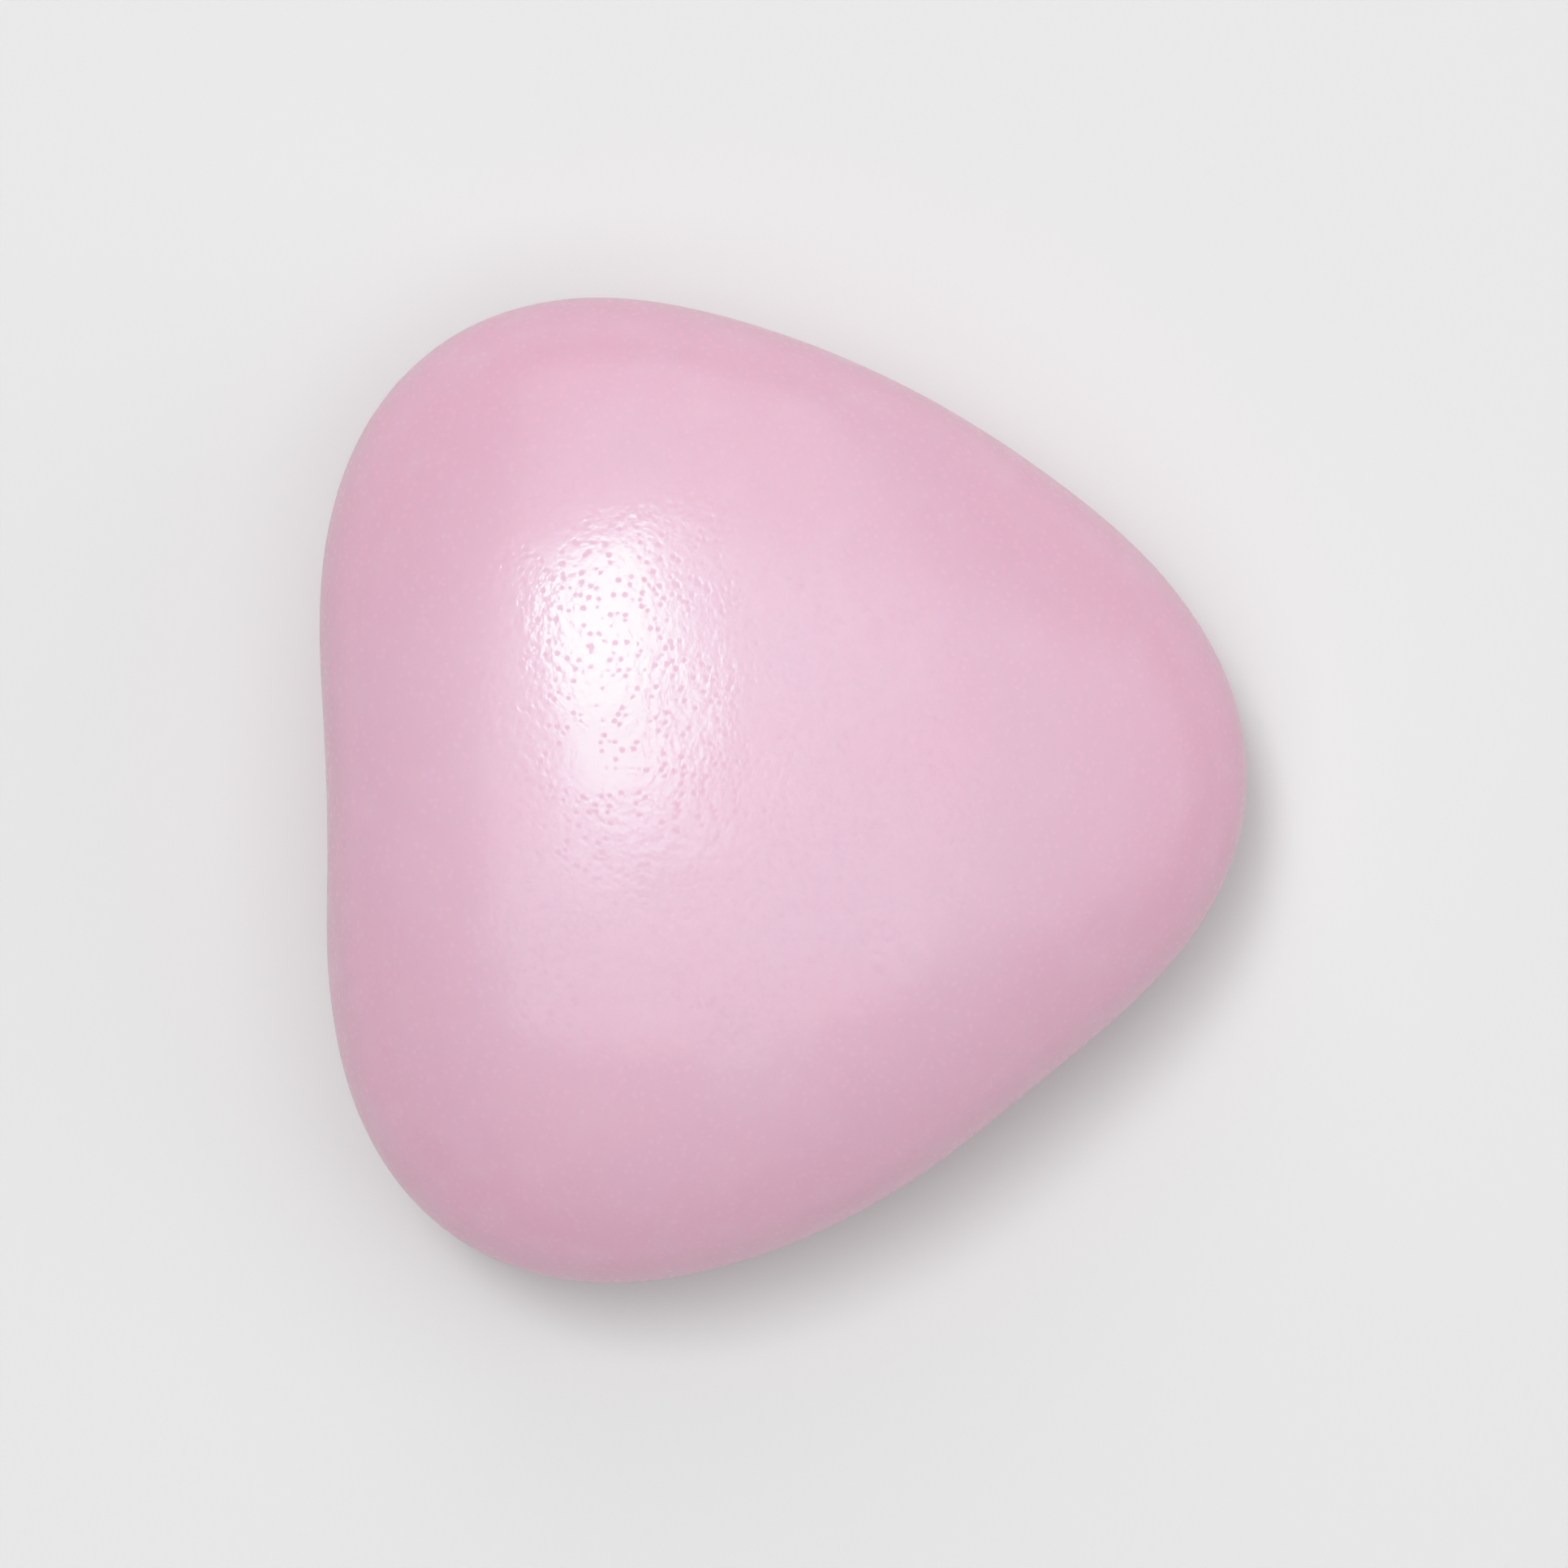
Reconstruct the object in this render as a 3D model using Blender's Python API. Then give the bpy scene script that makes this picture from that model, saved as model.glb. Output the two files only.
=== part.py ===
"""A chocolate heart dragee: one small sweet, a heart under a thick, rounded sugar shell.

It lies flat. +Z is up, the tip points along -Y and the two lobes lie towards +Y. The origin is
at the bottom, in the middle of the sweet's box. All sizes are in metres.
"""

import math

import bmesh
import bpy
from mathutils import Vector, noise

COLLECTION_NAME = "chocolate_heart_dragee"
DRAGEE_NAME = "heart_dragee"

# The sweet's outer size
WIDTH = 0.0180
LENGTH = 0.0169
THICKNESS = 0.0074

# The outline's waves, counted round the heart from its tip: how many, even share, odd share.
# Two waves make it wider than long, three draw out the lobes and the tip, four to six flatten
# the sides between them, and the odd shares make one lobe fuller than the other.
OUTLINE_WAVES = (
    (2, -0.023, 0.007),
    (3, 0.107, 0.002),
    (4, -0.005, 0.000),
    (5, 0.006, -0.003),
    (6, 0.007, -0.002),
)

# How much the rounded rim fills out beyond an ellipse, as a share of the radius
RIM_FULLNESS = 0.20

# The cleft between the lobes, which the coating has nearly filled, and the shallow valley that
# runs from it onto both faces, as shares of the unit ball
CLEFT_DEPTH = 0.010
VALLEY_DEPTH = 0.06
VALLEY_REACH = 0.50
VALLEY_WIDTH = 0.34

# The tip is a little thinner than the lobes
TIP_THINNING = 0.07

# Slow unevenness that the coating leaves, as a share of the size, and how close its swells are
UNEVENNESS = 0.014
UNEVENNESS_SCALE = 1.35
UNEVENNESS_PLACE = Vector((4.1, 1.7, 2.6))

# The worn spot that the sweet rests on: how much of its underside it takes off
FOOT_DEPTH = 0.00009

BALL_SUBDIVISIONS = 5

SHELL_COLOUR = (0.775, 0.505, 0.63, 1.0)
SHELL_ROUGHNESS = 0.34


def clear_scene():
    for item in list(bpy.data.objects):
        bpy.data.objects.remove(item, do_unlink=True)


def fade(distance, reach):
    return math.exp(-(distance / reach) ** 2)


def heart_point(ball):
    """Where a point of the unit ball lies on the heart, before it takes its real size."""
    tipward = -ball.y
    around = complex(tipward, ball.x)
    spread = 1.0
    for order, even, odd in OUTLINE_WAVES:
        spread += (complex(even, -odd) * around ** order).real
    spread *= 1.0 + RIM_FULLNESS * ball.z ** 2
    valley = fade(1.0 - ball.y, VALLEY_REACH) * fade(ball.x, VALLEY_WIDTH)
    length = ball.y * spread - CLEFT_DEPTH * valley
    height = ball.z * (1.0 - VALLEY_DEPTH * valley - TIP_THINNING * tipward)
    swell = 1.0 + UNEVENNESS * noise.noise(ball * UNEVENNESS_SCALE + UNEVENNESS_PLACE)
    return Vector((ball.x * spread, length, height)) * swell


def box_of(shape):
    low = Vector(min(vert.co[axis] for vert in shape.verts) for axis in range(3))
    high = Vector(max(vert.co[axis] for vert in shape.verts) for axis in range(3))
    return low, high


def size_and_seat(shape):
    """Scale the heart to its real size, wear its foot flat and stand it on the origin."""
    low, high = box_of(shape)
    full_height = THICKNESS + FOOT_DEPTH
    real_size = (WIDTH, LENGTH, full_height)
    factors = [real / (high[axis] - low[axis]) for axis, real in enumerate(real_size)]
    bmesh.ops.scale(shape, vec=factors, verts=shape.verts)
    low, high = box_of(shape)
    foot_level = low.z + FOOT_DEPTH
    for vert in shape.verts:
        vert.co.z = max(vert.co.z, foot_level)
    middle = (low + high) / 2
    bmesh.ops.translate(shape, vec=(-middle.x, -middle.y, -foot_level), verts=shape.verts)


def sugar_shell_material():
    material = bpy.data.materials.new("pink_sugar_shell")
    material.use_nodes = True
    shader = material.node_tree.nodes["Principled BSDF"]
    shader.inputs["Base Color"].default_value = SHELL_COLOUR
    shader.inputs["Roughness"].default_value = SHELL_ROUGHNESS
    shader.inputs["Metallic"].default_value = 0.0
    material.diffuse_color = SHELL_COLOUR
    return material


def make_dragee(collection):
    shape = bmesh.new()
    bmesh.ops.create_icosphere(shape, subdivisions=BALL_SUBDIVISIONS, radius=1.0)
    for vert in shape.verts:
        vert.co = heart_point(vert.co)
    size_and_seat(shape)
    mesh = bpy.data.meshes.new(DRAGEE_NAME)
    shape.to_mesh(mesh)
    shape.free()
    mesh.shade_smooth()
    mesh.materials.append(sugar_shell_material())
    dragee = bpy.data.objects.new(DRAGEE_NAME, mesh)
    collection.objects.link(dragee)
    return dragee


def main():
    clear_scene()
    collection = bpy.data.collections.new(COLLECTION_NAME)
    bpy.context.scene.collection.children.link(collection)
    make_dragee(collection)


main()
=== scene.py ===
import math

import bmesh
import bpy
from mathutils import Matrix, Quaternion, Vector, noise


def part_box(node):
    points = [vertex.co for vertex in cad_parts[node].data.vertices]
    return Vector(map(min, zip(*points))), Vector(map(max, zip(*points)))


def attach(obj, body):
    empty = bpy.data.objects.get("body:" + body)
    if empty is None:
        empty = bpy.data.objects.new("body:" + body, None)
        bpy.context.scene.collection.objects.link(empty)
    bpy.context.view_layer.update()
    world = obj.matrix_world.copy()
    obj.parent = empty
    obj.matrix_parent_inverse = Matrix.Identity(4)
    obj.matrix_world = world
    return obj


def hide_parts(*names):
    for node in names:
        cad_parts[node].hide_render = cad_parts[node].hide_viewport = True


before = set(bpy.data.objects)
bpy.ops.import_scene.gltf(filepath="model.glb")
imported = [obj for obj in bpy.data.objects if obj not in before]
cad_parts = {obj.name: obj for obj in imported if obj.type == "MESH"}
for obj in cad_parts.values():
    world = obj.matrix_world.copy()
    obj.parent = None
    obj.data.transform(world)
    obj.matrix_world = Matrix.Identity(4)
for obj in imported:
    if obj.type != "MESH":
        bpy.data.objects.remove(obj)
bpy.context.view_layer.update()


# The moulded heart. A flat, plump heart of chocolate is cast in a mould, with two round lobes
# towards +Y and a blunt tip towards -Y. It starts as a ball, which waves counted round it from
# the tip draw out into a heart.

MESH_FINENESS = 7
OUTLINE_WAVES = (
    (2, -0.023, 0.007),
    (3, 0.107, 0.002),
    (4, -0.005, 0.000),
    (5, 0.006, -0.003),
    (6, 0.007, -0.002),
)
RIM_FULLNESS = 0.20
TIP_THINNING = 0.07

# The cleft, which the sugar nearly fills, and the shallow valley that runs from it onto both faces
CLEFT_DEPTH = 0.010
VALLEY_DEPTH = 0.06
VALLEY_REACH = 0.50
VALLEY_WIDTH = 0.34

# How uneven the first thick coats are
UNEVENNESS = 0.014
UNEVENNESS_SCALE = 1.35
UNEVENNESS_PLACE = Vector((4.1, 1.7, 2.6))


def fade(distance, reach):
    return math.exp(-(distance / reach) ** 2)


def heart_point(ball):
    """Where a point of the unit ball lies on the heart, before it takes its real size."""
    tipward = -ball.y
    around = complex(tipward, ball.x)
    spread = 1.0
    for order, even, odd in OUTLINE_WAVES:
        spread += (complex(even, -odd) * around ** order).real
    spread *= 1.0 + RIM_FULLNESS * ball.z ** 2
    valley = fade(1.0 - ball.y, VALLEY_REACH) * fade(ball.x, VALLEY_WIDTH)
    length = ball.y * spread - CLEFT_DEPTH * valley
    height = ball.z * (1.0 - VALLEY_DEPTH * valley - TIP_THINNING * tipward)
    swell = 1.0 + UNEVENNESS * noise.noise(ball * UNEVENNESS_SCALE + UNEVENNESS_PLACE)
    return Vector((ball.x * spread, length, height)) * swell


sweet = bmesh.new()
bmesh.ops.create_icosphere(sweet, subdivisions=MESH_FINENESS, radius=1.0)
for vert in sweet.verts:
    vert.co = heart_point(vert.co)


# The sugar coats. The hearts tumble in a pan while syrup and sugar dry on them, coat over coat,
# until the shell is thick and every edge is round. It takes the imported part's real size here,
# and keeps the slow waves and the shallow knocks of the pan.

FOOT_DEPTH = 0.00009
PAN_WAVE = 0.000020
PAN_WAVE_LENGTH = 0.0020
KNOCK_DEPTH = 0.000050
KNOCK_SPACING = 0.0019
KNOCK_REACH = 0.26
KNOCKS_LEFT_OUT = 0.10
KNOCK_VARIETY = 7.3

sweet_low, sweet_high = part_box("heart_dragee")


def box_of(shape):
    low = Vector(min(vert.co[axis] for vert in shape.verts) for axis in range(3))
    high = Vector(max(vert.co[axis] for vert in shape.verts) for axis in range(3))
    return low, high


def knock(place):
    """How deep a point lies in the shallow, round knocks that the pan leaves, from 0 to 1."""
    distances, centres = noise.voronoi(place / KNOCK_SPACING)
    strength = noise.noise(centres[0] * KNOCK_VARIETY) - KNOCKS_LEFT_OUT
    return max(strength, 0.0) * fade(distances[0], KNOCK_REACH)


low, high = box_of(sweet)
real_size = sweet_high - sweet_low + Vector((0.0, 0.0, FOOT_DEPTH))
bmesh.ops.scale(
    sweet,
    vec=[real_size[axis] / (high[axis] - low[axis]) for axis in range(3)],
    verts=sweet.verts,
)
low, high = box_of(sweet)
bmesh.ops.translate(sweet, vec=sweet_high - high, verts=sweet.verts)
sweet.normal_update()
for vert in sweet.verts:
    wave = 0.5 + 0.5 * noise.noise(vert.co / PAN_WAVE_LENGTH)
    vert.co -= vert.normal * (PAN_WAVE * wave + KNOCK_DEPTH * knock(vert.co))

# The worn spot that it lies on
for vert in sweet.verts:
    vert.co.z = max(vert.co.z, sweet_low.z)


# The pink sugar and its polish. The last coats are pale pink, with painted shade on the flanks,
# a deeper, darker pink for the shade at the rims, and wax polishes them to a satin gloss. Light
# goes a little way into the sugar, and the gloss shows the fine peel and the clusters of tiny pits
# that the drying syrup leaves.

# The colours, the flanks' deeper pink being painted shade, and how far from the middle, up or
# down, the painted shade on the flank ends and the face starts
PINK = (0.761, 0.466, 0.592, 1.0)
LILAC = (0.745, 0.481, 0.614, 1.0)
PALE_PINK = (0.779, 0.500, 0.624, 1.0)
SHADED_FLANK_PINK = (0.783, 0.429, 0.564, 1.0)
FLANK_HEIGHT = 0.0012
FACE_HEIGHT = 0.0036

# How far apart the drifts of colour, the pale blotches and the specks are, how much of the cloud
# that draws them turns into each, and how strong they get
DRIFT_SIZE = 0.0035
DRIFT_RANGE = (0.35, 0.65)
BLOTCH_SIZE = 0.0009
BLOTCH_RANGE = (0.45, 0.80)
BLOTCH_STRENGTH = 0.45
SPECK_SIZE = 0.00012
SPECK_RANGE = (0.50, 0.85)
SPECK_STRENGTH = 0.35

# The sugar's satin face, and how far red, green and blue light go into it
SUGAR_IOR = 1.46
SATIN_ROUGHNESS = 0.40
LIGHT_GOING_IN = 0.8
LIGHT_REACH = 0.0012
REACH_OF_COLOURS = (1.0, 0.40, 0.50)

# The wax
GLOSS_IOR = 2.0
GLOSS_WEIGHT = 0.3
GLOSS_ROUGHNESS = 0.14

# The peel, tall in the wax and faint in the sugar under it
PEEL_SIZE = 0.00017
PEEL_HEIGHT = 0.000010
FAINT_PEEL_HEIGHT = 0.000002
PEEL_DRIFT_SIZE = 0.0015
PEEL_DRIFT_RANGE = (0.35, 0.65)
CALM_PEEL = 0.4

# The pits, which the wax hardly covers
PIT_SPACING = 0.00016
PIT_RADIUS = 0.000078
PIT_DEPTH = 0.000004
PITTED_SHARE = (0.80, 0.85)
PIT_CLUSTER_SIZE = 0.0008
PIT_CLUSTER_RANGE = (0.32, 0.44)
PIT_EDGE = (0.1, 0.5)
PIT_GLOSS_WEIGHT = 0.03

shell = bpy.data.materials.new("pink_sugar_shell")
shell.use_nodes = True
nodes = shell.node_tree.nodes
links = shell.node_tree.links
sugar = nodes["Principled BSDF"]
sugar.inputs["IOR"].default_value = SUGAR_IOR
sugar.inputs["Roughness"].default_value = SATIN_ROUGHNESS
sugar.subsurface_method = "BURLEY"
sugar.inputs["Subsurface Weight"].default_value = LIGHT_GOING_IN
sugar.inputs["Subsurface Scale"].default_value = LIGHT_REACH
sugar.inputs["Subsurface Radius"].default_value = REACH_OF_COLOURS
sugar.inputs["Coat IOR"].default_value = GLOSS_IOR
sugar.inputs["Coat Roughness"].default_value = GLOSS_ROUGHNESS
place = nodes.new("ShaderNodeTexCoord")


def patches(size, detail):
    """Soft, cloudy patches about this far apart."""
    cloud = nodes.new("ShaderNodeTexNoise")
    cloud.inputs["Scale"].default_value = 1.0 / size
    cloud.inputs["Detail"].default_value = detail
    links.new(place.outputs["Object"], cloud.inputs["Vector"])
    return cloud.outputs["Fac"]


def eased(value, turns_from, turns_to, starts=0.0, ends=1.0):
    """A soft step from starts to ends, as the value goes from turns_from to turns_to."""
    step = nodes.new("ShaderNodeMapRange")
    step.interpolation_type = "SMOOTHSTEP"
    step.inputs["From Min"].default_value = turns_from
    step.inputs["From Max"].default_value = turns_to
    step.inputs["To Min"].default_value = starts
    step.inputs["To Max"].default_value = ends
    links.new(value, step.inputs["Value"])
    return step.outputs["Result"]


def times(first, second):
    product = nodes.new("ShaderNodeMath")
    product.operation = "MULTIPLY"
    links.new(first, product.inputs[0])
    links.new(second, product.inputs[1])
    return product.outputs["Value"]


def tint(share, under, over):
    """The colour under, covered by the colour over as far as share says."""
    mix = nodes.new("ShaderNodeMix")
    mix.data_type = "RGBA"
    links.new(share, mix.inputs["Factor"])
    for side, colour in (("A", under), ("B", over)):
        socket = [s for s in mix.inputs if s.name == side and s.type == "RGBA"][0]
        if isinstance(colour, tuple):
            socket.default_value = colour
        else:
            links.new(colour, socket)
    return [s for s in mix.outputs if s.type == "RGBA"][0]


def raised(pattern, tallness, under=None):
    """The surface's normal, with this pattern standing tallness metres tall."""
    relief = nodes.new("ShaderNodeBump")
    relief.inputs["Strength"].default_value = 1.0
    relief.inputs["Distance"].default_value = tallness
    links.new(pattern, relief.inputs["Height"])
    if under is not None:
        links.new(under, relief.inputs["Normal"])
    return relief.outputs["Normal"]


# Painted shade: the flanks, told from the faces by how far they lie from the middle, up or down
along_axes = nodes.new("ShaderNodeSeparateXYZ")
links.new(place.outputs["Object"], along_axes.inputs["Vector"])
from_middle = nodes.new("ShaderNodeMath")
from_middle.operation = "SUBTRACT"
from_middle.inputs[1].default_value = (sweet_low.z + sweet_high.z) / 2
links.new(along_axes.outputs["Z"], from_middle.inputs[0])
either_way = nodes.new("ShaderNodeMath")
either_way.operation = "ABSOLUTE"
links.new(from_middle.outputs["Value"], either_way.inputs[0])
unshaded_face = eased(either_way.outputs["Value"], FLANK_HEIGHT, FACE_HEIGHT)

drift = eased(patches(DRIFT_SIZE, 1.0), *DRIFT_RANGE)
blotches = eased(patches(BLOTCH_SIZE, 3.0), *BLOTCH_RANGE, 0.0, BLOTCH_STRENGTH)
specks = eased(patches(SPECK_SIZE, 1.0), *SPECK_RANGE, 0.0, SPECK_STRENGTH)
colour = tint(drift, PINK, LILAC)
# Painted shade: the flanks turn a deeper, darker pink, standing in for the shade at the rims
colour = tint(unshaded_face, SHADED_FLANK_PINK, colour)
colour = tint(blotches, colour, PALE_PINK)
colour = tint(specks, colour, PALE_PINK)
links.new(colour, sugar.inputs["Base Color"])

# The pits: one in the middle of each chosen cell, where the clusters are
cells = nodes.new("ShaderNodeTexVoronoi")
cells.inputs["Scale"].default_value = 1.0 / PIT_SPACING
links.new(place.outputs["Object"], cells.inputs["Vector"])
cell_colour = nodes.new("ShaderNodeSeparateColor")
links.new(cells.outputs["Color"], cell_colour.inputs["Color"])
chosen = eased(cell_colour.outputs["Red"], *PITTED_SHARE, 1.0, 0.0)
hollow = eased(cells.outputs["Distance"], 0.0, PIT_RADIUS / PIT_SPACING, 1.0, 0.0)
clusters = eased(patches(PIT_CLUSTER_SIZE, 1.0), *PIT_CLUSTER_RANGE)
pit = times(times(chosen, hollow), clusters)
gloss = eased(pit, *PIT_EDGE, GLOSS_WEIGHT, PIT_GLOSS_WEIGHT)
links.new(gloss, sugar.inputs["Coat Weight"])

peel_strength = eased(patches(PEEL_DRIFT_SIZE, 1.0), *PEEL_DRIFT_RANGE, CALM_PEEL, 1.0)
peel = times(patches(PEEL_SIZE, 3.0), peel_strength)
links.new(raised(peel, FAINT_PEEL_HEIGHT), sugar.inputs["Normal"])
links.new(raised(pit, -PIT_DEPTH, raised(peel, PEEL_HEIGHT)), sugar.inputs["Coat Normal"])

# The finished sweet, one piece, in the place of the plain solid
mesh = bpy.data.meshes.new("sugar_coated_heart")
sweet.to_mesh(mesh)
sweet.free()
mesh.shade_smooth()
mesh.materials.append(shell)
dragee = bpy.data.objects.new("sugar_coated_heart", mesh)
bpy.context.scene.collection.objects.link(dragee)
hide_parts("heart_dragee")
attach(dragee, "root")


# The table. One plain sheet of pale, matt paper, laid flat under the sweet and curved up all
# round, far outside it, into a low wall that keeps the dark room out of sight.

FLAT_RADIUS = 0.55
WALL_STEPS = ((0.61, 0.01), (0.66, 0.04), (0.69, 0.09), (0.70, 0.15), (0.70, 0.28))
SHEET_SIDES = 96
PAPER_COLOUR = (0.79, 0.80, 0.795, 1.0)
PAPER_ROUGHNESS = 0.9

paper = bpy.data.materials.new("pale_paper")
paper.use_nodes = True
matt = paper.node_tree.nodes["Principled BSDF"]
matt.inputs["Base Color"].default_value = PAPER_COLOUR
matt.inputs["Roughness"].default_value = PAPER_ROUGHNESS
sheet = bmesh.new()
bmesh.ops.create_circle(sheet, cap_ends=True, segments=SHEET_SIDES, radius=FLAT_RADIUS)
rim = list(sheet.edges)
radius = FLAT_RADIUS
for next_radius, height_up in WALL_STEPS:
    grown = bmesh.ops.extrude_edge_only(sheet, edges=rim)["geom"]
    ring = [part for part in grown if isinstance(part, bmesh.types.BMVert)]
    rim = [part for part in grown if isinstance(part, bmesh.types.BMEdge)]
    bmesh.ops.scale(sheet, vec=(next_radius / radius, next_radius / radius, 1.0), verts=ring)
    for vert in ring:
        vert.co.z = height_up
    radius = next_radius
table_mesh = bpy.data.meshes.new("pale_table")
sheet.to_mesh(table_mesh)
sheet.free()
table_mesh.shade_smooth()
table_mesh.materials.append(paper)
table = bpy.data.objects.new("pale_table", table_mesh)
bpy.context.scene.collection.objects.link(table)


# The light. A bright softbox and a half bright one, side by side and nearly overhead, make the
# long highlight, and a wide, dim one the glow round it. Large softboxes overhead and on three
# sides fill the rest, with the faint light of a pale room.

ROOM_GLOW = 0.05
LIGHT_DISTANCE = 0.5
middle = (sweet_low + sweet_high) / 2


def softbox(name, lean, size, glow, turn=0.0):
    """A softbox that stands off the vertical by lean, in degrees towards +X and towards +Y.

    size is its length, along X, and its width, as angles seen from the sweet. turn slants it."""
    length, width = (2 * LIGHT_DISTANCE * math.tan(math.radians(angle) / 2) for angle in size)
    lamp = bpy.data.lights.new(name, "AREA")
    lamp.shape = "RECTANGLE"
    lamp.size = length
    lamp.size_y = width
    lamp.energy = glow * math.pi * length * width
    upright = Vector((0.0, 0.0, 1.0))
    across = Vector((*lean, 0.0))
    off_vertical = math.radians(across.length)
    direction = across.normalized() * math.sin(off_vertical) + upright * math.cos(off_vertical)
    box = bpy.data.objects.new(name, lamp)
    box.location = middle + direction * LIGHT_DISTANCE
    box.rotation_mode = "QUATERNION"
    slant = Quaternion(upright, math.radians(turn))
    box.rotation_quaternion = upright.rotation_difference(direction) @ slant
    bpy.context.scene.collection.objects.link(box)


softbox("bright_softbox", lean=(15.8, 10.4), size=(14.5, 9.5), glow=15.0, turn=8)
softbox("half_bright_softbox", lean=(4.0, 8.0), size=(9.4, 9.5), glow=6.0, turn=8)
softbox("dim_softbox", lean=(10.0, 8.7), size=(33, 17), glow=2.6, turn=8)
softbox("overhead_softbox", lean=(0, 0), size=(52, 52), glow=1.40)
softbox("tip_side_softbox", lean=(0, -50), size=(45, 45), glow=0.75)
softbox("lobe_side_softbox", lean=(50, 0), size=(45, 45), glow=0.96)
softbox("low_side_softbox", lean=(-44, 9), size=(45, 45), glow=0.32)
room = bpy.data.worlds.new("pale_room")
room.use_nodes = True
room_light = room.node_tree.nodes["Background"]
room_light.inputs["Color"].default_value = (1.0, 1.0, 1.0, 1.0)
room_light.inputs["Strength"].default_value = ROOM_GLOW
bpy.context.scene.world = room


# The camera and its film. It looks straight down, with the tip to the right and turned a little
# upwards, from far enough for the sweet's sides to stay hidden. The film keeps every tone as it
# is, but for the brightest, which it draws out gently to white.

LENS_MM = 150
SENSOR_MM = 36
VIEW_WIDTH = 0.0286
TIP_TURN = 2.0
NEAREST = 0.001

# What the film makes of a brightness, from where the gentle bend starts
FILM_TONES = ((0.84, 0.84), (0.93, 0.896), (1.02, 0.938), (1.14, 0.975), (1.3, 1.0))

camera = bpy.data.cameras.new("camera")
camera.lens = LENS_MM
camera.sensor_width = SENSOR_MM
camera.clip_start = NEAREST
viewer = bpy.data.objects.new("camera", camera)
viewer.location = middle + Vector((0.0, 0.0, VIEW_WIDTH * LENS_MM / SENSOR_MM))
viewer.rotation_euler = (0.0, 0.0, math.radians(-90.0 - TIP_TURN))
bpy.context.scene.collection.objects.link(viewer)
bpy.context.scene.camera = viewer

view = bpy.context.scene.view_settings
view.view_transform = "Standard"
view.use_curve_mapping = True
film = view.curve_mapping
film.clip_max_x = FILM_TONES[-1][0]
response = film.curves[3]
response.points[1].location = FILM_TONES[-1]
for tone in FILM_TONES[:-1]:
    response.points.new(*tone)
response.points[0].handle_type = "VECTOR"
response.points[1].handle_type = "VECTOR"
film.update()
